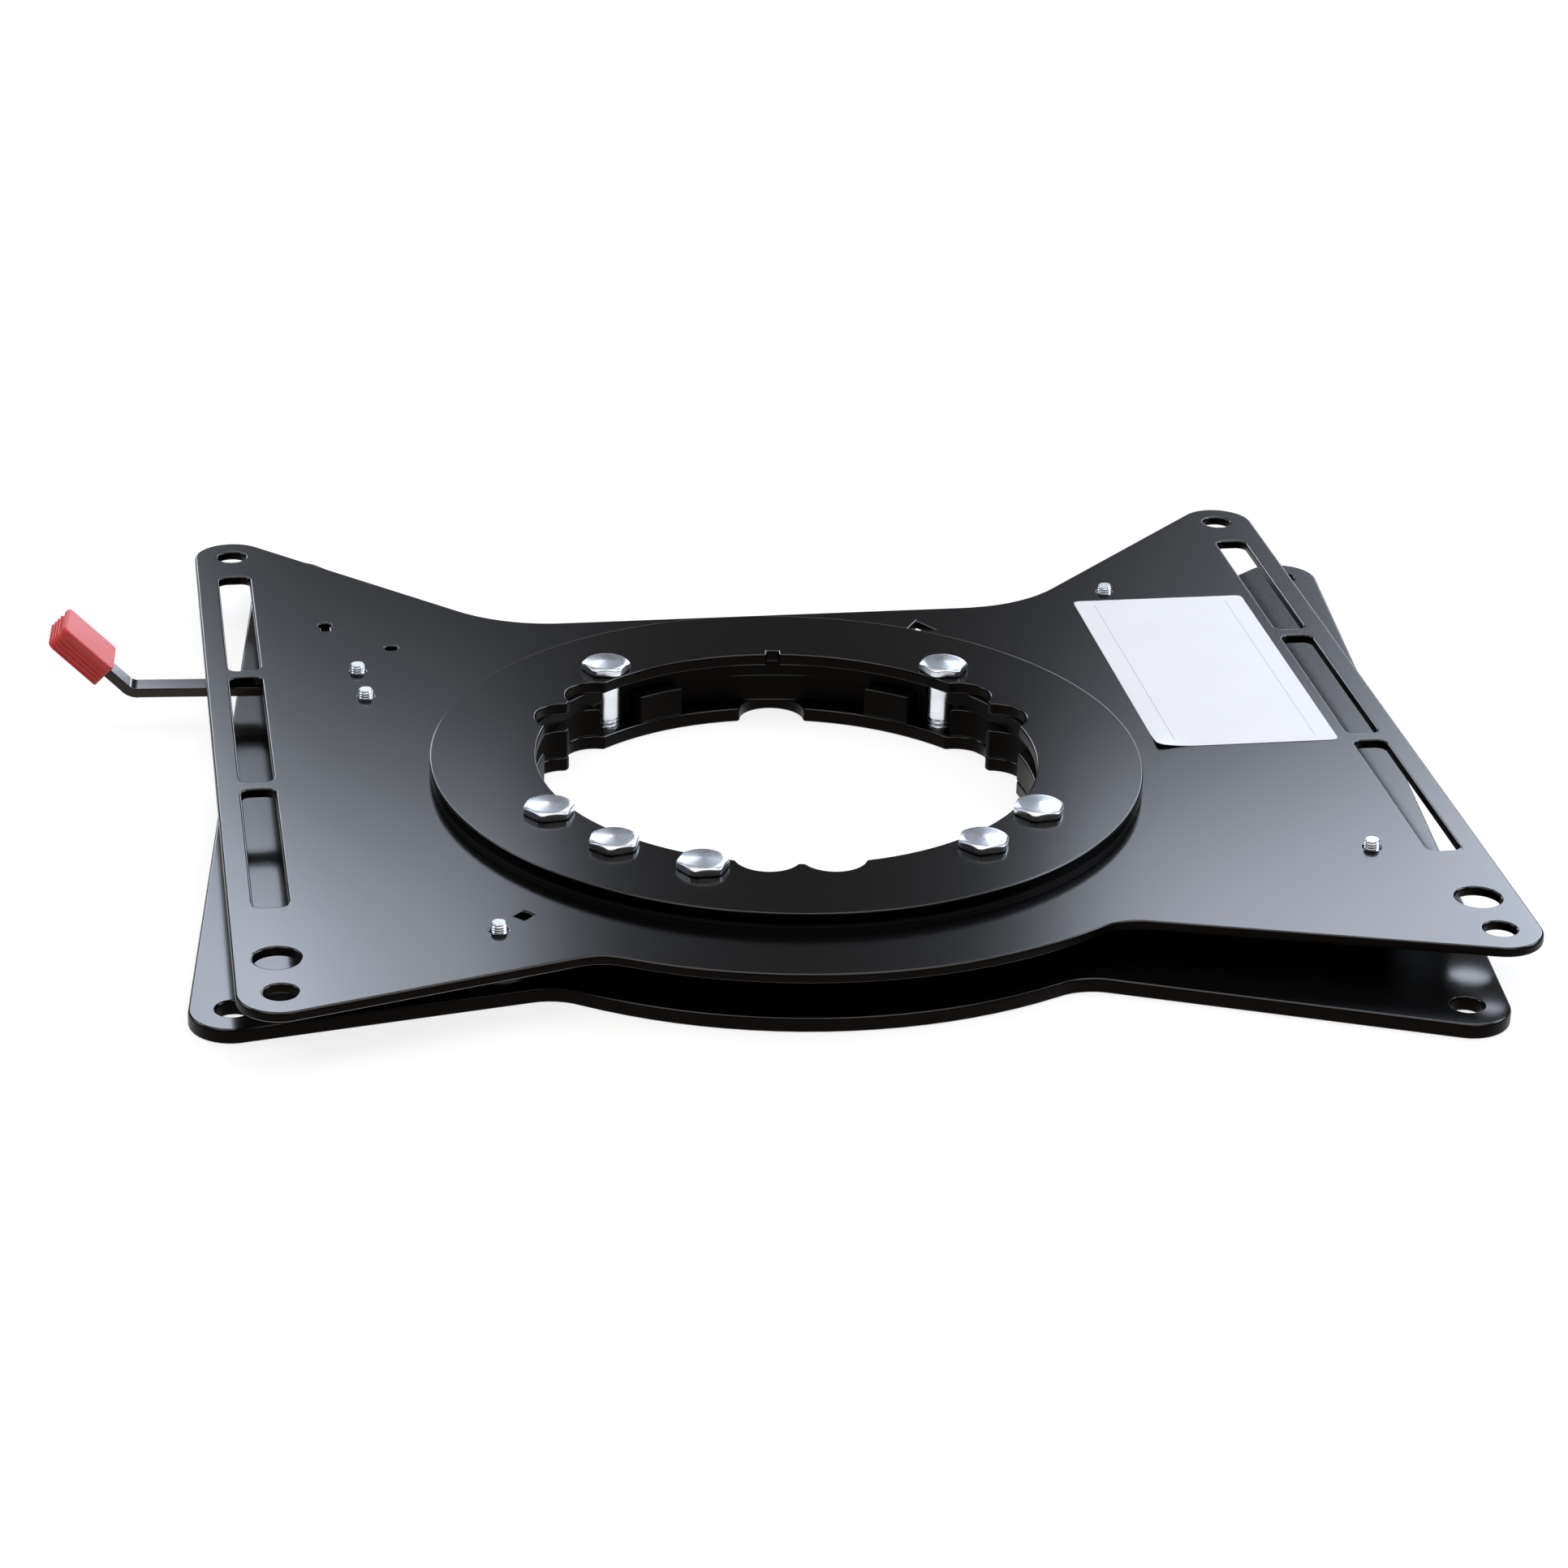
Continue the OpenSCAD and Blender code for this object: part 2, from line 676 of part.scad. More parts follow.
bottom_plate();
lock_ring();
glide_ring(hub_z, lower_glide_r);  // lower_glide_ring
hub_ring();
glide_ring(clamp_z - glide_t, upper_glide_r);  // upper_glide_ring
clamp_ring();
for (i = [0 : len(bolt_angles) - 1]) ring_bolt(i);
top_plate();
lever_pivot_bolt();
spring_post();
for (i = [0 : len(stud_spots) - 1]) skid_pad(i);
for (i = [0 : len(stud_spots) - 1]) skid_screw(i);
blank_label();
lever();
lever_grip();
lever_spring_pin();
lever_spring();
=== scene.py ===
import math

import bmesh
import bpy
from mathutils import Matrix, Quaternion, Vector


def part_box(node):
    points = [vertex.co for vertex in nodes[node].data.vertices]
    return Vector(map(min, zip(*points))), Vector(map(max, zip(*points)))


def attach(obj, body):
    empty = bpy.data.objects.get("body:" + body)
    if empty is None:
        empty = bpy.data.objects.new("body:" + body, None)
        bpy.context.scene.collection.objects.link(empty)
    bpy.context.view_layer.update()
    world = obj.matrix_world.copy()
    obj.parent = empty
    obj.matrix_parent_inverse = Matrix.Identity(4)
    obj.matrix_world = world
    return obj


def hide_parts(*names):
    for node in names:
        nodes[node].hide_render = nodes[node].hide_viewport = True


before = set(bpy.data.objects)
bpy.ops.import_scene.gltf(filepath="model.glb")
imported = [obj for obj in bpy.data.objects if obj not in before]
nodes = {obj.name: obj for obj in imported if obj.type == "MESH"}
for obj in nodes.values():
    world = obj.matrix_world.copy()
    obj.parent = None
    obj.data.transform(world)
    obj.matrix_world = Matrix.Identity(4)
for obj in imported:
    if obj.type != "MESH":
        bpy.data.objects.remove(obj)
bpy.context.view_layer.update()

scene = bpy.context.scene
scene.view_settings.view_transform = "Standard"

# Plates: two 4 and 6 mm sheets of steel, cut by laser to one outline and powder coated
# satin black. The coat rounds the cut edges, has a fine orange peel and a little dust.
# The cut walls are a little duller, and they carry painted shade: metallic in a dark
# brown, so that they mirror almost nothing of their surroundings.
COAT_BLACK = (0.0024, 0.0025, 0.0029, 1)
# Painted shade: the dark brown that the cut walls mirror in place of their surroundings.
COAT_WALL_SHADE = (0.0062, 0.0050, 0.0043, 1)
COAT_DUST = (0.012, 0.012, 0.013, 1)
COAT_IOR = 1.58
PEEL_SIZE = 1350
PEEL_HEIGHT = 0.00002
PEEL_BUMP = 0.12
PEEL_DULLING = 0.04
WALL_SLOPE = 0.5
WALL_DULLING = 0.25
PLATE_SHINE = 0.158
PLATE_EDGE = 0.0010
EDGE_STEPS = 4
EDGE_ANGLE = math.radians(40)
FLAT_ANGLE = math.radians(0.3)
WELD = 0.000004


def socket(group, name, kind, way, value=None):
    """One named socket of a node group."""
    made = group.interface.new_socket(name=name, in_out=way, socket_type=kind)
    if value is not None:
        made.default_value = value


def node(tree, kind, at=(0, 0), **settings):
    """A shader node at a place in the tree, with its settings."""
    made = tree.nodes.new(kind)
    made.location = at
    for key, value in settings.items():
        setattr(made, key, value)
    return made


def math_node(tree, operation, a, b, at=(0, 0), clamp=False):
    """A Math node whose inputs are sockets or plain numbers."""
    made = node(tree, "ShaderNodeMath", at, operation=operation, use_clamp=clamp)
    for index, value in enumerate((a, b)):
        if isinstance(value, bpy.types.NodeSocket):
            tree.links.new(value, made.inputs[index])
        else:
            made.inputs[index].default_value = value
    return made.outputs[0]


def mix_colour(tree, factor, a, b, at=(0, 0)):
    """A colour mix whose inputs are sockets or plain values."""
    made = node(tree, "ShaderNodeMix", at, data_type="RGBA")
    for name, value in ((0, factor), (6, a), (7, b)):
        if isinstance(value, bpy.types.NodeSocket):
            tree.links.new(value, made.inputs[name])
        else:
            made.inputs[name].default_value = value
    return made.outputs[2]


def noise(tree, vector, scale, detail, rough, at=(0, 0)):
    """A noise texture's value on the given coordinates."""
    made = node(tree, "ShaderNodeTexNoise", at)
    made.inputs["Scale"].default_value = scale
    made.inputs["Detail"].default_value = detail
    made.inputs["Roughness"].default_value = rough
    tree.links.new(vector, made.inputs["Vector"])
    return made.outputs["Fac"]


def new_material(name):
    """A material with its node tree and its Principled shader."""
    made = bpy.data.materials.new(name)
    made.use_nodes = True
    return made, made.node_tree, made.node_tree.nodes["Principled BSDF"]


def add_bump(tree, shader, height, strength, distance):
    """Feeds a height through a Bump node into the shader's normal."""
    bump = node(tree, "ShaderNodeBump", (-300, -400))
    bump.inputs["Strength"].default_value = strength
    bump.inputs["Distance"].default_value = distance
    tree.links.new(height, bump.inputs["Height"])
    tree.links.new(bump.outputs["Normal"], shader.inputs["Normal"])


def add_object(name, data):
    """An object of a mesh, lamp or camera, in the scene."""
    made = bpy.data.objects.new(name, data)
    scene.collection.objects.link(made)
    return made


def powder_coat_group():
    """Orange peel, fine specks and a haze of dust, as a height and masks over a surface."""
    group = bpy.data.node_groups.new("powder_coat_surface", "ShaderNodeTree")
    socket(group, "Peel Scale", "NodeSocketFloat", "INPUT", PEEL_SIZE)
    socket(group, "Dust Amount", "NodeSocketFloat", "INPUT", 0.25)
    socket(group, "Height", "NodeSocketFloat", "OUTPUT")
    socket(group, "Dust", "NodeSocketFloat", "OUTPUT")
    socket(group, "Wall", "NodeSocketFloat", "OUTPUT")
    inside = node(group, "NodeGroupInput", (-900, 0))
    out = node(group, "NodeGroupOutput", (600, 0))
    place = node(group, "ShaderNodeTexCoord", (-900, 300)).outputs["Object"]
    peel = node(group, "ShaderNodeTexNoise", (-500, 200))
    peel.inputs["Detail"].default_value = 2.0
    peel.inputs["Roughness"].default_value = 0.45
    group.links.new(place, peel.inputs["Vector"])
    group.links.new(inside.outputs["Peel Scale"], peel.inputs["Scale"])
    drift = noise(group, place, 7.0, 3.0, 0.55, (-500, -100))
    speck = noise(group, place, 900.0, 1.0, 0.5, (-500, -400))
    specks = math_node(group, "SUBTRACT", speck, 0.69, (-250, -400))
    specks = math_node(group, "MULTIPLY", specks, 14.0, (-80, -400), clamp=True)
    haze = math_node(group, "SUBTRACT", drift, 0.42, (-250, -100))
    haze = math_node(group, "MULTIPLY", haze, 2.2, (-80, -100), clamp=True)
    dust = math_node(group, "MULTIPLY", specks, haze, (100, -250), clamp=True)
    dust = math_node(group, "MULTIPLY", dust, inside.outputs["Dust Amount"], (260, -250))
    group.links.new(peel.outputs["Fac"], out.inputs["Height"])
    group.links.new(dust, out.inputs["Dust"])
    # The steep walls, as a mask for their roughness and their painted shade.
    normal = node(group, "ShaderNodeNewGeometry", (-900, -600)).outputs["True Normal"]
    upright = node(group, "ShaderNodeSeparateXYZ", (-600, -600))
    group.links.new(normal, upright.inputs[0])
    level = math_node(group, "ABSOLUTE", upright.outputs["Z"], 0.0, (-400, -600))
    shaded_wall = math_node(group, "LESS_THAN", level, WALL_SLOPE, (-200, -600))
    group.links.new(shaded_wall, out.inputs["Wall"])
    return group


coat_surface = powder_coat_group()


def coat_material(name, black, shaded_wall, roughness, dust):
    """Satin powder coat over a top side, and cut walls that are duller and carry painted shade."""
    made, tree, shader = new_material(name)
    surface = node(tree, "ShaderNodeGroup", (-900, 0), node_tree=coat_surface)
    surface.inputs["Dust Amount"].default_value = dust
    # Painted shade: the walls take the dark brown wall colour.
    colour = mix_colour(tree, surface.outputs["Wall"], black, shaded_wall, (-600, 200))
    colour = mix_colour(tree, surface.outputs["Dust"], colour, COAT_DUST, (-400, 200))
    tree.links.new(colour, shader.inputs["Base Color"])
    shine = math_node(tree, "MULTIPLY", surface.outputs["Height"], PEEL_DULLING, (-600, -100))
    shine = math_node(tree, "ADD", shine, roughness, (-400, -100))
    dulled = math_node(tree, "MULTIPLY", surface.outputs["Wall"], WALL_DULLING, (-400, -250))
    tree.links.new(math_node(tree, "ADD", shine, dulled, (-250, -100)), shader.inputs["Roughness"])
    # Painted shade: metallic walls show only their dark colour, not the bright floor they face.
    tree.links.new(surface.outputs["Wall"], shader.inputs["Metallic"])
    shader.inputs["IOR"].default_value = COAT_IOR
    add_bump(tree, shader, surface.outputs["Height"], PEEL_BUMP, PEEL_HEIGHT)
    return made


def rounded(name, node_name, edge, material, body):
    """The CAD solid again with its sharp edges rounded, in the place of its node."""
    shape = bmesh.new()
    shape.from_mesh(nodes[node_name].data)
    bmesh.ops.remove_doubles(shape, verts=shape.verts, dist=WELD)
    bmesh.ops.dissolve_limit(shape, angle_limit=FLAT_ANGLE, verts=shape.verts, edges=shape.edges)
    mesh = bpy.data.meshes.new(name)
    shape.to_mesh(mesh)
    shape.free()
    mesh.shade_smooth()
    mesh.materials.append(material)
    made = add_object(name, mesh)
    edging = made.modifiers.new("edge_round", "BEVEL")
    edging.width = edge
    edging.segments = EDGE_STEPS
    edging.limit_method = "ANGLE"
    edging.angle_limit = EDGE_ANGLE
    edging.use_clamp_overlap = False
    made.modifiers.new("flat_faces", "WEIGHTED_NORMAL").keep_sharp = False
    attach(made, body)
    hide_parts(node_name)


plate_coat = coat_material("plate_coat", COAT_BLACK, COAT_WALL_SHADE, PLATE_SHINE, 0.3)
rounded("bottom_plate_coated", "bottom_plate", PLATE_EDGE, plate_coat, "base")
rounded("top_plate_coated", "top_plate", PLATE_EDGE, plate_coat, "turntable")

# Ring bearing: the clamp ring, hub ring and notched lock ring are cut from steel plate and
# powder coated like the plates, a touch glossier on the turned clamp ring. Two thin rings
# of dark slide plastic lie on either side of the top plate.
RING_BLACK = (0.0024, 0.0024, 0.0026, 1)
# Painted shade: the dull brownish black of the rings inside the bearing.
INNER_SHADE_BLACK = (0.0058, 0.0051, 0.0045, 1)
RING_EDGE = 0.0008
GLIDE_BLACK = (0.010, 0.010, 0.010, 1)
GLIDE_DARK = (0.007, 0.007, 0.007, 1)
PAD_BLACK = (0.024, 0.024, 0.025, 1)
PAD_DARK = (0.017, 0.017, 0.018, 1)
GRAIN_BUMP = 0.5
GRAIN_DULLING = 0.10
ring_coat = coat_material("ring_coat", RING_BLACK, COAT_WALL_SHADE, 0.145, 0.2)
# Painted shade: the hub and lock ring inside the bearing get a dull brownish black, with metallic
# walls that mirror almost nothing, for the shade inside the ring.
inner_shade_coat = coat_material("inner_shade_coat", INNER_SHADE_BLACK, INNER_SHADE_BLACK, 0.26, 0.1)
rounded("clamp_ring_coated", "clamp_ring", RING_EDGE, ring_coat, "base")
for ring in ("lock_ring", "hub_ring"):
    rounded(f"{ring}_coated", ring, RING_EDGE, inner_shade_coat, "base")


def finish_node(name, material):
    """Gives a CAD node its material."""
    mesh = nodes[name].data
    mesh.materials.clear()
    mesh.materials.append(material)


def plastic_material(name, colour, dark, roughness, grain, grain_height):
    """Moulded plastic with a fine spark-eroded grain and slightly uneven colour."""
    made, tree, shader = new_material(name)
    place = node(tree, "ShaderNodeTexCoord", (-1000, 0)).outputs["Object"]
    drift = noise(tree, place, 60.0, 3.0, 0.6, (-800, 200))
    fine = noise(tree, place, grain, 2.0, 0.5, (-800, -200))
    tree.links.new(mix_colour(tree, drift, dark, colour, (-400, 200)), shader.inputs["Base Color"])
    shine = math_node(tree, "MULTIPLY", fine, GRAIN_DULLING, (-500, -50))
    shine = math_node(tree, "ADD", shine, roughness - GRAIN_DULLING / 2, (-350, -50))
    tree.links.new(shine, shader.inputs["Roughness"])
    add_bump(tree, shader, fine, GRAIN_BUMP, grain_height)
    return made


glide_plastic = plastic_material("glide_plastic", GLIDE_BLACK, GLIDE_DARK, 0.5, 2500.0, 0.00002)
for ring in ("lower_glide_ring", "upper_glide_ring"):
    finish_node(ring, glide_plastic)
pad_plastic = plastic_material("pad_plastic", PAD_BLACK, PAD_DARK, 0.5, 2200.0, 0.00003)
for number in (1, 2, 3):
    finish_node(f"skid_pad_{number}", pad_plastic)

# Bolts and thread ends: cold-headed steel with bright zinc plate. The plate is cloudy and
# bluish, worn a little by the spanner, and the thread ends have a real helical thread.
ZINC = (0.86, 0.89, 0.93, 1)
ZINC_CLOUD = (0.74, 0.77, 0.82, 1)
ZINC_DULL = 0.30
CLOUD_GLOSS = -0.04
SCRATCH_BUMP = 0.1
SCRATCH_DEPTH = 0.00001


def zinc_material():
    """Zinc plate whose cloudy grain changes both colour and gloss."""
    made, tree, shader = new_material("zinc_plate")
    shader.inputs["Metallic"].default_value = 1.0
    place = node(tree, "ShaderNodeTexCoord", (-1100, 0)).outputs["Object"]
    cloud = noise(tree, place, 120.0, 3.0, 0.55, (-900, 250))
    cloud = math_node(tree, "SUBTRACT", cloud, 0.36, (-700, 250))
    cloud = math_node(tree, "MULTIPLY", cloud, 3.2, (-550, 250), clamp=True)
    scratch = noise(tree, place, 1500.0, 2.0, 0.6, (-900, -150))
    colour = mix_colour(tree, cloud, ZINC_CLOUD, ZINC, (-350, 250))
    tree.links.new(colour, shader.inputs["Base Color"])
    shine = math_node(tree, "MULTIPLY", cloud, CLOUD_GLOSS, (-550, 0))
    shine = math_node(tree, "ADD", shine, ZINC_DULL, (-400, 0))
    tree.links.new(shine, shader.inputs["Roughness"])
    add_bump(tree, shader, scratch, SCRATCH_BUMP, SCRATCH_DEPTH)
    return made


zinc_plate = zinc_material()
finish_node("lever_spring_pin", zinc_plate)
ROUND_STEPS = 48
SHARP_ANGLE = math.radians(34)
THREAD_ROWS = 8
THREAD_BEVEL = 0.0006
GROOVE_SLOPE = 1.25
GROOVE_CREST = 0.12


def piece(name, shape, material, body, node_name):
    """Makes an object of a bmesh, on a body, in the place of a CAD node."""
    bmesh.ops.recalc_face_normals(shape, faces=shape.faces)
    mesh = bpy.data.meshes.new(name)
    shape.to_mesh(mesh)
    shape.free()
    mesh.shade_smooth()
    mesh.set_sharp_from_angle(angle=SHARP_ANGLE)
    mesh.materials.append(material)
    made = add_object(name, mesh)
    made.modifiers.new("flat_faces", "WEIGHTED_NORMAL").keep_sharp = True
    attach(made, body)
    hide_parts(node_name)
    return made


def skin(shape, rings):
    """Joins rings of points, one above the other; a ring of one point closes an end."""
    rows = [[shape.verts.new(point) for point in ring] for ring in rings]
    for low, high in zip(rows, rows[1:]):
        count = max(len(low), len(high))
        for step in range(count):
            after = (step + 1) % count
            corners = [low[step % len(low)], low[after % len(low)]]
            corners += [high[after % len(high)], high[step % len(high)]]
            shape.faces.new(list(dict.fromkeys(corners)))


def round_ring(centre, z, radius, steps=ROUND_STEPS, start=0.0):
    """A ring of points; radius is a number or a function of the angle."""
    points = []
    for step in range(steps):
        angle = start + 2 * math.pi * step / steps
        reach = radius(angle) if callable(radius) else radius
        points.append((centre[0] + reach * math.cos(angle), centre[1] + reach * math.sin(angle), z))
    return points


def thread_rings(centre, low, high, radius, pitch, depth, start=0.0, steps=ROUND_STEPS):
    """Rings of a helical thread from low to high, with a bevel at both of its ends."""
    count = max(2, round((high - low) / pitch * THREAD_ROWS))
    rings = []
    for row in range(count + 1):
        z = low + (high - low) * row / count
        end_gap = min(z - low, high - z)
        limit = radius - depth + min(depth, end_gap * depth / THREAD_BEVEL)

        def reach(angle, z=z, limit=limit):
            turn = (z / pitch - angle / (2 * math.pi)) % 1.0
            groove = min(1.0, max(0.0, (1 - abs(2 * turn - 1)) * GROOVE_SLOPE - GROOVE_CREST))
            return min(limit, radius - depth * groove)

        rings.append(round_ring(centre, z, reach, steps, start))
    return rings


# Ring bolts: seven M12 bolts with thin heads. The head has a washer face below and a turned
# top, a shallow cone that cuts its six sides off lower at their rounded corners.
BOLT_ACROSS = 0.018
BOLT_SHANK_R = 0.00595
BOLT_TURNS = (14, 16, 8, 20, 12, 2, 0)
BOLT_THREAD_TOP = 0.0095
BOLT_PITCH = 0.00175
BOLT_THREAD_DEPTH = 0.0010
WASHER_FACE = 0.0004
WASHER_FOOT = 0.94
WASHER_TOP = 0.96
HEAD_FOOT = 0.0002
TOP_SHARES = (0.8, 0.6, 0.4, 0.2, 0.1, 0.05)
CONE_SLOPE = 0.10
CONE_TIP_R = 0.0015
CHAMFER_R = 0.0083
CHAMFER_SLOPE = 0.42
HEAD_CORNER_R = 0.0099
HEAD_EDGE = 0.0003
HEAD_STEPS = 96


def cone_drop(reach):
    """How far the head's top has fallen at a distance from its middle."""
    cone = CONE_SLOPE * (math.hypot(reach, CONE_TIP_R) - CONE_TIP_R)
    return cone + CHAMFER_SLOPE * max(0.0, reach - CHAMFER_R)


def ring_bolt(number):
    """One bolt, from its tip in the bottom plate to the cone of its head."""
    name = f"ring_bolt_{number}"
    low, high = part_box(name)
    centre = (low + high) / 2
    start = math.radians(BOLT_TURNS[number - 1])
    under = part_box("clamp_ring")[1].z
    flat = BOLT_ACROSS / 2

    def hexagon(angle):
        return min(HEAD_CORNER_R, flat / math.cos((angle - start) % (math.pi / 3) - math.pi / 6))

    def on_cone(point, inset, drop):
        way = Vector((point[0] - centre.x, point[1] - centre.y))
        out = way.length - inset
        way.normalize()
        return (centre.x + way.x * out, centre.y + way.y * out, high.z - cone_drop(out) - drop)

    def head_ring(z, radius):
        return round_ring(centre, z, radius, HEAD_STEPS, start)

    rings = [[(centre.x, centre.y, low.z)]]
    rings += thread_rings(
        centre, low.z, BOLT_THREAD_TOP, BOLT_SHANK_R, BOLT_PITCH, BOLT_THREAD_DEPTH, start, HEAD_STEPS
    )
    rings.append(head_ring(BOLT_THREAD_TOP + THREAD_BEVEL, BOLT_SHANK_R))
    rings.append(head_ring(under, BOLT_SHANK_R))
    for z, reach in ((under, flat * WASHER_FOOT), (under + WASHER_FACE, flat * WASHER_TOP)):
        rings.append(head_ring(z, reach))
    rings.append(head_ring(under + WASHER_FACE, lambda angle: hexagon(angle) - HEAD_FOOT))
    rings.append(head_ring(under + WASHER_FACE + HEAD_FOOT, hexagon))
    edge = head_ring(0, hexagon)
    for lean in (0, 30, 60, 90):
        inset = HEAD_EDGE * (1 - math.cos(math.radians(lean)))
        drop = HEAD_EDGE * (1 - math.sin(math.radians(lean)))
        rings.append([on_cone(point, inset, drop) for point in edge])
    for reach in (CHAMFER_R, *(flat * share for share in TOP_SHARES)):
        rings.append(head_ring(high.z - cone_drop(reach), reach))
    rings.append([(centre.x, centre.y, high.z)])
    shape = bmesh.new()
    skin(shape, rings)
    piece(f"bolt_{number}", shape, zinc_plate, "base", name)


for number in range(1, 8):
    ring_bolt(number)

# Screws of the top plate: turned from steel with M6 threads, whose bevelled ends stand a
# little above the plate. Below it, each has the head, collar or post that the lock needs.
M6_R = 0.003
M6_PITCH = 0.001
M6_DEPTH = 0.00055
SCREW_HEAD_R = 0.0058
SCREW_HEAD_T = 0.0024
POST_R = 0.004
FLANGE_R = 0.0095
FLANGE_T = 0.0018
SLEEVE_R = 0.006
NECK_R = 0.005
NECK_GAP = 0.0001
PLATE_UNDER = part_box("top_plate")[0].z
LEVER_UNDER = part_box("lever")[0].z


def plate_screw(name, node_name, steps):
    """Turned steps as (z, radius), then a thread up to the screw's end."""
    low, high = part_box(node_name)
    centre = (low + high) / 2
    rings = [[(centre.x, centre.y, steps[0][0])]]
    rings += [round_ring(centre, z, radius) for z, radius in steps]
    rings += thread_rings(centre, steps[-1][0], high.z, M6_R, M6_PITCH, M6_DEPTH)
    rings.append([(centre.x, centre.y, high.z)])
    shape = bmesh.new()
    skin(shape, rings)
    piece(name, shape, zinc_plate, "turntable", node_name)


for number in (1, 2, 3):
    head_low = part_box(f"skid_screw_{number}")[0].z
    head_top = head_low + SCREW_HEAD_T
    plate_screw(
        f"pad_screw_{number}",
        f"skid_screw_{number}",
        ((head_low, SCREW_HEAD_R), (head_top, SCREW_HEAD_R), (head_top, M6_R)),
    )
post_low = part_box("spring_post")[0].z
plate_screw(
    "lock_post", "spring_post", ((post_low, POST_R), (PLATE_UNDER, POST_R), (PLATE_UNDER, M6_R))
)
flange_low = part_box("lever_pivot_bolt")[0].z
flange_top = flange_low + FLANGE_T
neck_low = LEVER_UNDER - NECK_GAP
plate_screw(
    "pivot_bolt",
    "lever_pivot_bolt",
    (
        (flange_low, FLANGE_R), (flange_top, FLANGE_R), (flange_top, SLEEVE_R),
        (neck_low, SLEEVE_R), (neck_low, NECK_R), (PLATE_UNDER, NECK_R), (PLATE_UNDER, M6_R),
    ),
)

# Lever: a flat steel bar bent up at its end, coated black, with a torsion spring of drawn
# wire below it and a red grip of moulded plastic pushed over its end.
LEVER_EDGE = 0.0005
# Painted shade: the bar's walls are metallic in a dark brown, standing in for the dark surroundings
# they mirror.
LEVER_WALL_SHADE = (0.036, 0.031, 0.026, 1)
lever_coat = coat_material("lever_coat", COAT_BLACK, LEVER_WALL_SHADE, PLATE_SHINE, 0.2)
rounded("lever_bar", "lever", LEVER_EDGE, lever_coat, "locking_lever")
GRIP_RED = (0.88, 0.092, 0.084, 1)
GRIP_DARK = (0.76, 0.062, 0.054, 1)
grip_plastic = plastic_material("grip_plastic", GRIP_RED, GRIP_DARK, 0.38, 1800.0, 0.00003)
GRIP_OUTER_R = 0.003
GRIP_INNER_R = 0.0025
GRIP_CAP = 0.0025
GRIP_STEPS = 12
RIB_COUNT = 4
RIB_DEPTH = 0.0008
RIB_SHAPE = (
    (0, 1), (0.03, 0.5), (0.15, 0.16), (0.35, 0),
    (0.65, 0), (0.85, 0.16), (0.97, 0.5), (1, 1),
)
CAP_SHAPE = (
    (0, 1), (0.01, 0.5), (0.06, 0.14), (0.14, 0),
    (0.62, 0), (0.78, 0.1), (0.9, 0.36), (0.97, 0.8), (1, 1.4),
)
POCKET = (0.0211, 0.0101, 0.0041)
UPWARD = 0.3
SQUARE_ON = 0.01


def grip_axes():
    """Unit vectors along, across and through the CAD grip, found from its largest faces."""
    faces = [face for face in nodes["lever_grip"].data.polygons if face.normal.z > UPWARD]
    through = max(faces, key=lambda face: face.area).normal.copy()
    ends = [face for face in faces if abs(face.normal.dot(through)) < SQUARE_ON]
    along = max(ends, key=lambda face: face.area).normal.copy()
    return along, through.cross(along), through


def grip_outline(low, high, inset):
    """The grip seen through its thickness, smaller by an inset that fades at its inner end."""
    corners = (
        (high[0] - GRIP_OUTER_R, low[1] + GRIP_OUTER_R, GRIP_OUTER_R, -90),
        (high[0] - GRIP_OUTER_R, high[1] - GRIP_OUTER_R, GRIP_OUTER_R, 0),
        (low[0] + GRIP_INNER_R, high[1] - GRIP_INNER_R, GRIP_INNER_R, 90),
        (low[0] + GRIP_INNER_R, low[1] + GRIP_INNER_R, GRIP_INNER_R, 180),
    )
    points = []
    for x, y, radius, start in corners:
        for step in range(GRIP_STEPS + 1):
            angle = math.radians(start + 90 * step / GRIP_STEPS)
            fade = 1 - max(0.0, -math.cos(angle))
            reach = radius - inset * fade
            points.append((x + reach * math.cos(angle), y + reach * math.sin(angle)))
    return points


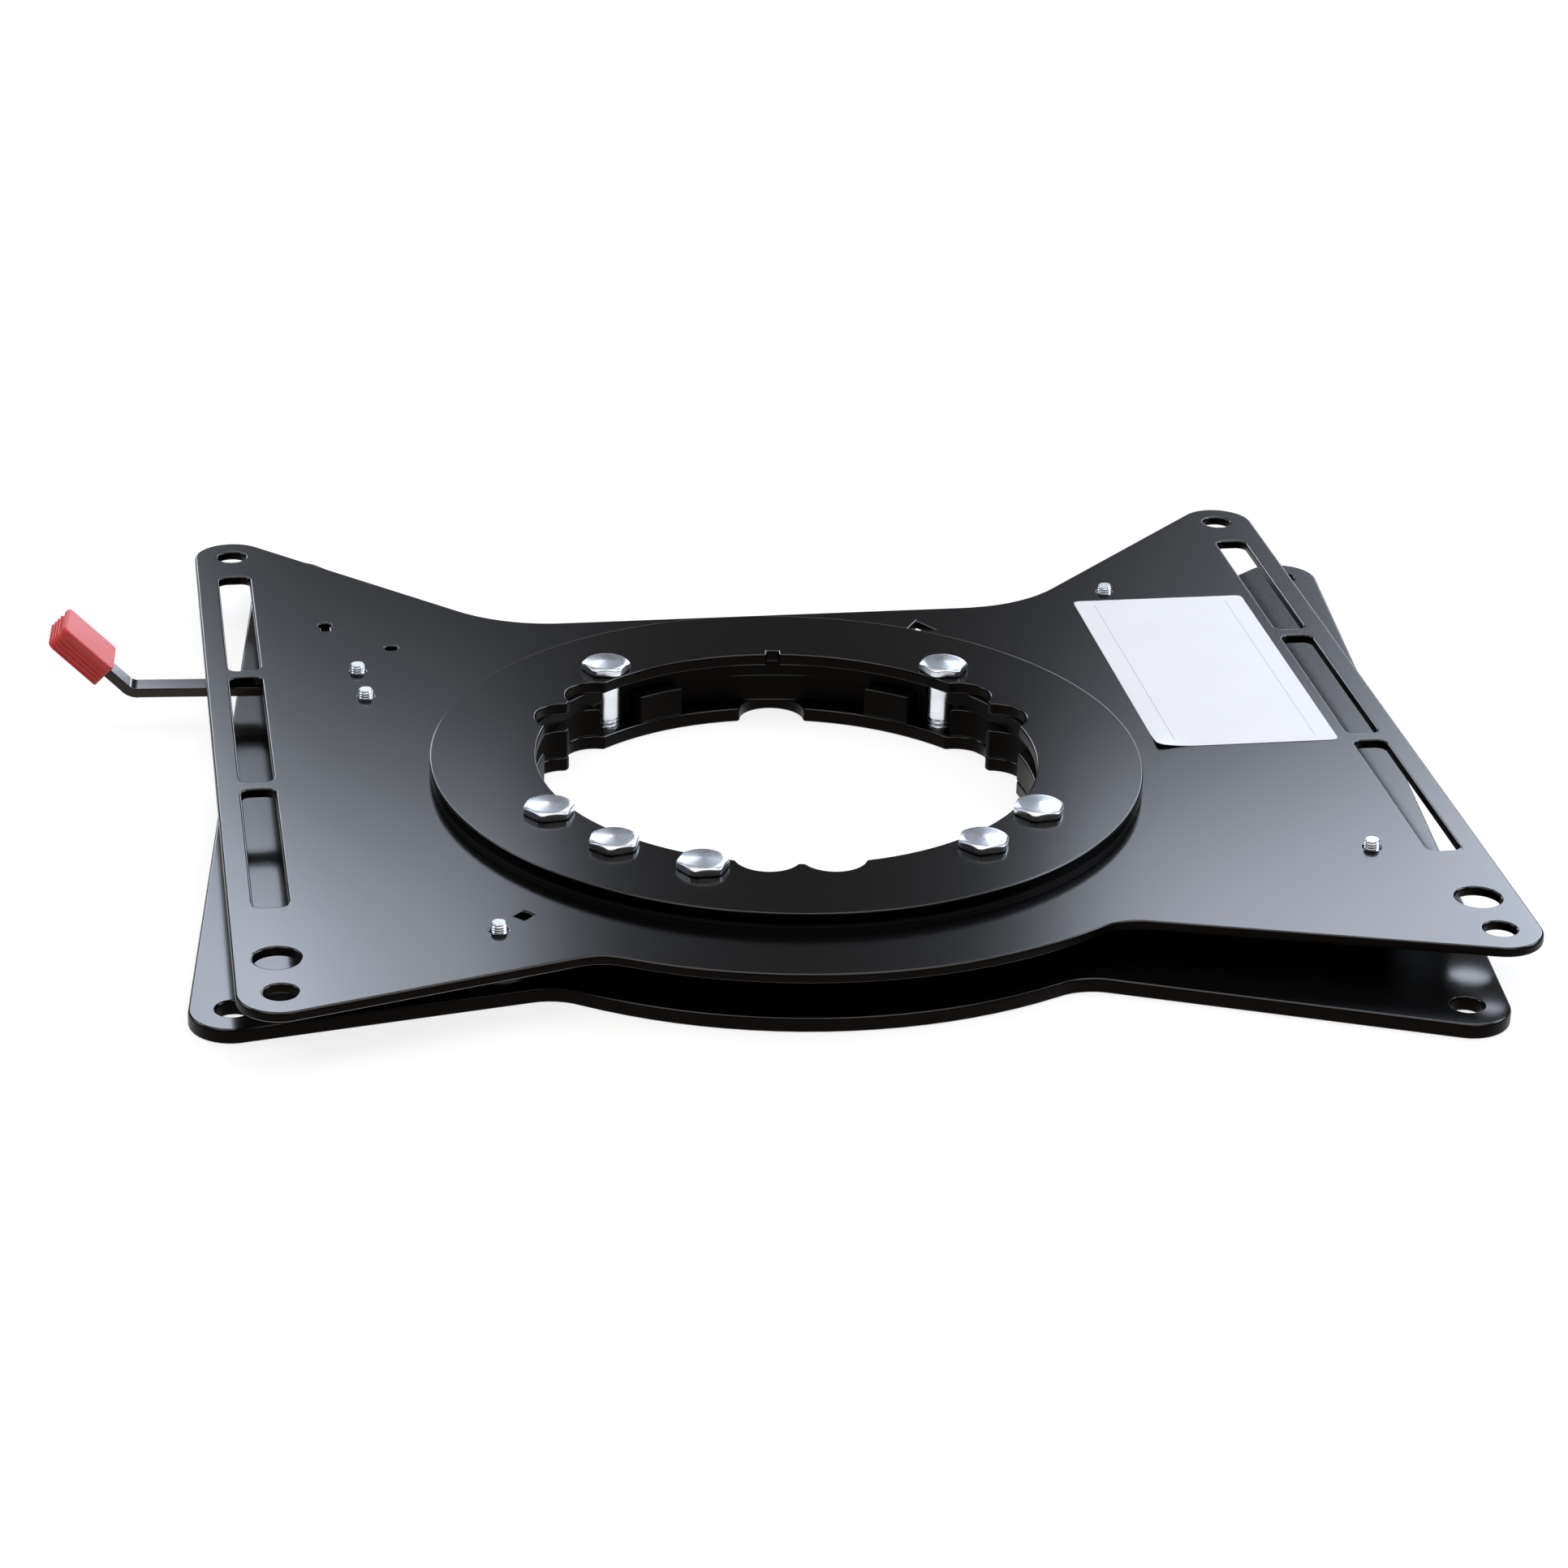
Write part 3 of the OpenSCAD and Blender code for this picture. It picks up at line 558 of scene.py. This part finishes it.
def grip():
    """Ribbed sides under a smooth cap, with the pocket that the lever's end sits in."""
    axes = grip_axes()
    spots = [vertex.co for vertex in nodes["lever_grip"].data.vertices]
    low = [min(spot.dot(axis) for spot in spots) for axis in axes]
    high = [max(spot.dot(axis) for spot in spots) for axis in axes]
    thickness = high[2] - low[2]
    pitch = (thickness - GRIP_CAP - RIB_DEPTH) / RIB_COUNT
    profile = [
        (rib * pitch + at * pitch / 2, inset) for rib in range(RIB_COUNT) for at, inset in RIB_SHAPE
    ]
    profile += [(thickness - GRIP_CAP * (1 - at), inset) for at, inset in CAP_SHAPE]

    def place(x, y, z):
        return x * axes[0] + y * axes[1] + z * axes[2]

    middle = [(a + b) / 2 for a, b in zip(low, high)]
    rings = [[place(middle[0], middle[1], low[2])]]
    for height, inset in profile:
        outline = grip_outline(low, high, inset * RIB_DEPTH)
        rings.append([place(x, y, low[2] + height) for x, y in outline])
    rings.append([place(middle[0], middle[1], high[2])])
    shape = bmesh.new()
    skin(shape, rings)
    made = piece("grip_ribbed", shape, grip_plastic, "locking_lever", "lever_grip")
    turned = Matrix(axes).transposed().to_4x4()
    turned.translation = place(low[0], middle[1], middle[2])
    cutter = bmesh.new()
    sized = Matrix.Diagonal((2 * POCKET[0], POCKET[1], POCKET[2], 1))
    bmesh.ops.create_cube(cutter, size=1, matrix=turned @ sized)
    mesh = bpy.data.meshes.new("grip_pocket")
    cutter.to_mesh(mesh)
    cutter.free()
    block = add_object("grip_pocket", mesh)
    carve = made.modifiers.new("pocket", "BOOLEAN")
    carve.operation = "DIFFERENCE"
    carve.object = block
    state = made.evaluated_get(bpy.context.evaluated_depsgraph_get())
    carved = bpy.data.meshes.new_from_object(state)
    made.modifiers.remove(carve)
    made.data = carved
    bpy.data.objects.remove(block)


grip()
WIRE_DARK = (0.26, 0.27, 0.29, 1)
WIRE_LIGHT = (0.50, 0.51, 0.53, 1)
WIRE_SHINE = 0.28


def wire_material():
    """Drawn spring wire, dull grey with fine lengthwise marks."""
    made, tree, shader = new_material("spring_wire")
    shader.inputs["Metallic"].default_value = 1.0
    place = node(tree, "ShaderNodeTexCoord", (-900, 0)).outputs["Object"]
    marks = noise(tree, place, 900.0, 3.0, 0.6, (-700, 0))
    colour = mix_colour(tree, marks, WIRE_DARK, WIRE_LIGHT, (-300, 200))
    tree.links.new(colour, shader.inputs["Base Color"])
    shine = math_node(tree, "MULTIPLY", marks, 0.2, (-450, -100))
    tree.links.new(math_node(tree, "ADD", shine, WIRE_SHINE, (-300, -100)), shader.inputs["Roughness"])
    return made


finish_node("lever_spring", wire_material())

# Label: a sticker of white film on the right of the top plate, blank but for two thin grey
# lines beside its long edges.
LABEL_WHITE = (0.84, 0.84, 0.85, 1)
LABEL_SHADE = (0.78, 0.78, 0.80, 1)
LABEL_GREY = (0.50, 0.50, 0.52, 1)
FILM_DULL = 0.42
FILM_BUMP = 0.25
FILM_HEIGHT = 0.0001
LABEL_LINE_X = 0.029
LABEL_LINE_Y = 0.071
LABEL_LINE_W = 0.00035
LABEL_TURN = math.radians(6)
LABEL_SPOT = Vector((0.189, 0.0805, 0))


def label_material():
    """White film with a faint unevenness from the adhesive below it."""
    made, tree, shader = new_material("label_film")
    place = node(tree, "ShaderNodeTexCoord", (-900, 0)).outputs["Object"]
    drift = noise(tree, place, 40.0, 3.0, 0.5, (-700, 200))
    colour = mix_colour(tree, drift, LABEL_SHADE, LABEL_WHITE, (-300, 200))
    flat = node(tree, "ShaderNodeMapping", (-700, 500), vector_type="TEXTURE")
    spot = Matrix.Rotation(LABEL_TURN, 3, "Z") @ LABEL_SPOT
    flat.inputs["Location"].default_value = spot
    flat.inputs["Rotation"].default_value = (0, 0, LABEL_TURN)
    tree.links.new(place, flat.inputs["Vector"])
    parts = node(tree, "ShaderNodeSeparateXYZ", (-520, 500))
    tree.links.new(flat.outputs[0], parts.inputs[0])
    side = math_node(tree, "ABSOLUTE", parts.outputs["X"], 0.0, (-360, 600))
    side = math_node(tree, "SUBTRACT", side, LABEL_LINE_X, (-220, 600))
    side = math_node(tree, "ABSOLUTE", side, 0.0, (-80, 600))
    line = math_node(tree, "LESS_THAN", side, LABEL_LINE_W / 2, (60, 600))
    reach = math_node(tree, "ABSOLUTE", parts.outputs["Y"], 0.0, (-360, 450))
    ends = math_node(tree, "LESS_THAN", reach, LABEL_LINE_Y, (-220, 450))
    line = math_node(tree, "MULTIPLY", line, ends, (200, 550))
    colour = mix_colour(tree, line, colour, LABEL_GREY, (350, 400))
    tree.links.new(colour, shader.inputs["Base Color"])
    shader.inputs["Roughness"].default_value = FILM_DULL
    add_bump(tree, shader, drift, FILM_BUMP, FILM_HEIGHT)
    return made


LABEL_W = 0.075
LABEL_L = 0.153
LABEL_CORNER = 0.0022
LABEL_LIFT = 0.0016
LIFT_REACH = 0.016
LABEL_COLUMNS = 30
LABEL_ROWS = 60


def label():
    """The film with round corners, its front left corner coming away from the plate."""
    low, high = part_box("blank_label")
    turn = Matrix.Rotation(LABEL_TURN, 3, "Z")
    points = []
    for row in range(LABEL_ROWS + 1):
        for column in range(LABEL_COLUMNS + 1):
            x = LABEL_W * (column / LABEL_COLUMNS - 0.5)
            y = LABEL_L * (row / LABEL_ROWS - 0.5)
            inner_x = max(0.0, abs(x) - LABEL_W / 2 + LABEL_CORNER)
            inner_y = max(0.0, abs(y) - LABEL_L / 2 + LABEL_CORNER)
            out = math.hypot(inner_x, inner_y)
            if out > LABEL_CORNER:
                x -= math.copysign(inner_x * (1 - LABEL_CORNER / out), x)
                y -= math.copysign(inner_y * (1 - LABEL_CORNER / out), y)
            near = math.hypot(x + LABEL_W / 2, y + LABEL_L / 2)
            lift = LABEL_LIFT * max(0.0, 1 - near / LIFT_REACH) ** 2
            points.append((x, y, lift))
    shape = bmesh.new()
    skins = []
    for z in (low.z, high.z):
        skins.append([])
        for x, y, lift in points:
            place = turn @ (Vector((x, y, 0)) + LABEL_SPOT)
            skins[-1].append(shape.verts.new((place.x, place.y, z + lift)))
    across = LABEL_COLUMNS + 1
    for row in range(LABEL_ROWS):
        for column in range(LABEL_COLUMNS):
            first = row * across + column
            corners = (first, first + 1, first + across + 1, first + across)
            shape.faces.new([skins[1][corner] for corner in corners])
            shape.faces.new([skins[0][corner] for corner in reversed(corners)])
    rim = list(range(across))
    rim += [row * across + LABEL_COLUMNS for row in range(1, LABEL_ROWS + 1)]
    rim += [LABEL_ROWS * across + column for column in range(LABEL_COLUMNS - 1, -1, -1)]
    rim += [row * across for row in range(LABEL_ROWS - 1, 0, -1)]
    for first, after in zip(rim, rim[1:] + rim[:1]):
        shape.faces.new((skins[0][first], skins[0][after], skins[1][after], skins[1][first]))
    piece("label_film", shape, label_material(), "turntable", "blank_label")


label()

# Camera: at the photo's place, found from the plates' straight edges, slots and holes. It
# looks down by 24.9 degrees through a 95 mm lens.
CAMERA_AT = Vector((-0.00067, -1.4841, 0.6834))
CAMERA_DOWN = 24.942
CAMERA_ROLL = 1.665
CAMERA_TURN = -3.963
PLATE_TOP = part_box("top_plate")[1].z
SENSOR = 36.0
LENS = 95.29

camera = bpy.data.cameras.new("camera")
camera.sensor_width = SENSOR
camera.lens = LENS
camera.clip_start = 0.05
camera.clip_end = 50
view = add_object("camera", camera)
forward = Vector((0, math.cos(math.radians(CAMERA_DOWN)), -math.sin(math.radians(CAMERA_DOWN))))
right = Vector((1, 0, 0))
up = right.cross(forward)
roll = math.radians(-CAMERA_ROLL)
axis_right = right * math.cos(roll) - up * math.sin(roll)
axis_up = up * math.cos(roll) + right * math.sin(roll)
turn = Matrix.Rotation(math.radians(CAMERA_TURN), 4, "Z")
pose = Matrix((axis_right, axis_up, -forward)).transposed().to_4x4()
pose.translation = CAMERA_AT
view.matrix_world = Matrix.Translation((0, 0, PLATE_TOP)) @ turn @ pose
scene.camera = view

# Studio: a white floor that keeps a soft shadow, a dark curtain round the set that only
# gloss sees, and soft boxes above, behind and beside it and weaker ones in front.
FLOOR_HALF = 6.0
CURTAIN_R = 3.6
CURTAIN_TOP = 5.5
CURTAIN_FOOT = 0.05
CURTAIN_STEPS = 96
CLOTH_BLACK = (0.01, 0.01, 0.01, 1)
CLOTH_GLOW = (1.0, 0.90, 0.80, 1)
CLOTH_LEVEL = 0.05
FLOOR_LIT = (0.30, 0.30, 0.30, 1)
FLOOR_WHITE = 0.82
FLOOR_GAP = 0.0002
SKY_LIGHT = 0.22
SKY_WHITE = 0.78


def white_rays(tree):
    """1 for the rays that see the white surroundings: camera, gloss and transmission."""
    path = node(tree, "ShaderNodeLightPath", (-800, -100))
    seen = path.outputs["Is Camera Ray"]
    for ray in ("Is Glossy Ray", "Is Transmission Ray"):
        seen = math_node(tree, "ADD", seen, path.outputs[ray], (-500, -100), clamp=True)
    return seen


def backdrop_material():
    """White floor: part lit, so that it keeps a shadow, and part white by itself."""
    made = bpy.data.materials.new("backdrop_white")
    made.use_nodes = True
    tree = made.node_tree
    tree.nodes.clear()
    out = node(tree, "ShaderNodeOutputMaterial", (500, 0))
    lit = node(tree, "ShaderNodeBsdfDiffuse", (0, 100))
    lit.inputs["Color"].default_value = FLOOR_LIT
    glow = node(tree, "ShaderNodeEmission", (0, -100))
    white = math_node(tree, "MULTIPLY", white_rays(tree), FLOOR_WHITE, (-200, -100))
    tree.links.new(white, glow.inputs["Strength"])
    both = node(tree, "ShaderNodeAddShader", (250, 0))
    tree.links.new(lit.outputs[0], both.inputs[0])
    tree.links.new(glow.outputs[0], both.inputs[1])
    tree.links.new(both.outputs[0], out.inputs["Surface"])
    return made


def flat_square(name, half):
    """A square in the XY plane, as its own object."""
    mesh = bpy.data.meshes.new(name)
    corners = [(-half, -half, 0), (half, -half, 0), (half, half, 0), (-half, half, 0)]
    mesh.from_pydata(corners, [], [(0, 1, 2, 3)])
    made = add_object(name, mesh)
    return made


floor = flat_square("floor", FLOOR_HALF)
floor.location.z = -FLOOR_GAP
floor.data.materials.append(backdrop_material())


def curtain(radius, low, high):
    """A dark cloth round the set, seen only in the gloss of the coat."""
    mesh = bpy.data.meshes.new("curtain")
    shape = bmesh.new()
    rings = []
    for z in (low, high):
        ring = []
        for step in range(CURTAIN_STEPS):
            angle = 2 * math.pi * step / CURTAIN_STEPS
            ring.append(shape.verts.new((radius * math.cos(angle), radius * math.sin(angle), z)))
        rings.append(ring)
    for step in range(CURTAIN_STEPS):
        after = (step + 1) % CURTAIN_STEPS
        shape.faces.new((rings[0][step], rings[0][after], rings[1][after], rings[1][step]))
    shape.to_mesh(mesh)
    shape.free()
    made = add_object("curtain", mesh)
    for ray in ("camera", "diffuse", "shadow", "transmission"):
        setattr(made, f"visible_{ray}", False)
    cloth, _, shader = new_material("curtain_cloth")
    shader.inputs["Base Color"].default_value = CLOTH_BLACK
    shader.inputs["Roughness"].default_value = 1.0
    shader.inputs["Emission Color"].default_value = CLOTH_GLOW
    shader.inputs["Emission Strength"].default_value = CLOTH_LEVEL
    made.data.materials.append(cloth)


curtain(CURTAIN_R, CURTAIN_FOOT, CURTAIN_TOP)
COOL = (0.79, 0.86, 1.0)
WARM = (1.0, 0.95, 0.88)


def soft_box(name, turn, rise, distance, width, height, power, colour, lean=0.0):
    """An area lamp facing the axis: turned to the right of the camera's line, raised, leaned."""
    lamp = bpy.data.lights.new(name, "AREA")
    lamp.shape = "RECTANGLE"
    lamp.size = width
    lamp.size_y = height
    lamp.energy = power
    lamp.color = colour
    made = add_object(name, lamp)
    way = Vector((0, math.cos(math.radians(rise)), math.sin(math.radians(rise))))
    way.rotate(Matrix.Rotation(math.radians(CAMERA_TURN - turn), 3, "Z"))
    made.location = way * distance
    facing = (-way).to_track_quat("-Z", "Y")
    made.rotation_euler = (Quaternion(way, math.radians(-lean)) @ facing).to_euler()
    made.visible_camera = False
    return made


soft_box("box_top", 0, 90, 2.6, 2.4, 2.0, 8, WARM)
soft_box("box_top_fill", 0, 90, 2.5, 2.4, 2.0, 11, WARM).visible_glossy = False
soft_box("box_back_left", -9.5, 31, 3.3, 0.35, 0.46, 2.1, COOL, 5)
soft_box("box_far_left", -21, 22, 3.3, 0.60, 1.58, 15, COOL, -22)
soft_box("box_back_right", 19.5, 35, 3.3, 0.97, 1.35, 20, COOL, -21)
soft_box("box_far_right", 15.5, 15, 3.3, 0.40, 1.77, 10.6, COOL, -32)
soft_box("box_left", -75, 40, 2.9, 1.4, 1.0, 13, COOL)
soft_box("box_right", 75, 40, 2.9, 1.4, 1.0, 28, COOL)
soft_box("box_front_left", -145, 45, 2.9, 1.5, 1.1, 5, WARM)
soft_box("box_front_right", 145, 45, 2.9, 1.5, 1.1, 5, WARM)

world = bpy.data.worlds.new("studio")
scene.world = world
world.use_nodes = True
sky = world.node_tree
sky.nodes["Background"].inputs["Color"].default_value = (1, 1, 1, 1)
shown = math_node(sky, "MULTIPLY", white_rays(sky), SKY_WHITE, (-300, 0))
shown = math_node(sky, "ADD", shown, SKY_LIGHT, (-150, 0))
sky.links.new(shown, sky.nodes["Background"].inputs["Strength"])
